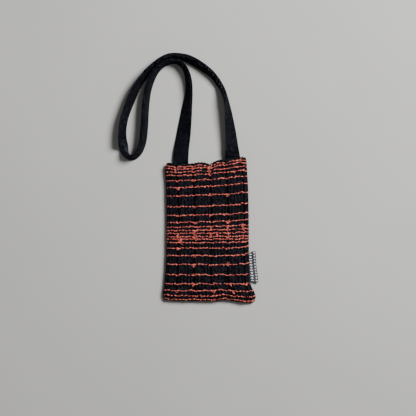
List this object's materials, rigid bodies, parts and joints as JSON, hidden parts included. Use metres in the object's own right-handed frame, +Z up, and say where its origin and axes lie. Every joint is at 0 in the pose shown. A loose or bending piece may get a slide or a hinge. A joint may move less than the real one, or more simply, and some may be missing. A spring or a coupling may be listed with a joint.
{
  "type": "neck pouch",
  "caption": "Small black ribbed cloth pouch with coral slub stripes, open at the top, on a flat black webbing neck strap, lying on its back with the strap looped to the left",
  "frame": {"origin": "on the surface the pouch lies on, under the middle of the bounding box", "axes": "+X to the right across the pouch front, +Y from the pouch's bottom edge to its mouth, +Z up out of the front, away from the surface"},
  "size_m": [0.1878, 0.3354, 0.02],
  "materials": {
    "ribbed_cloth": "matte, ribbed, with coral slub yarns across",
    "webbing": "matte woven",
    "label_cloth": "smooth woven"
  },
  "bodies": {
    "root": {"front_panel": "ribbed_cloth", "back_panel": "ribbed_cloth", "strap": "webbing", "side_label": "label_cloth"}
  },
  "joints": []
}
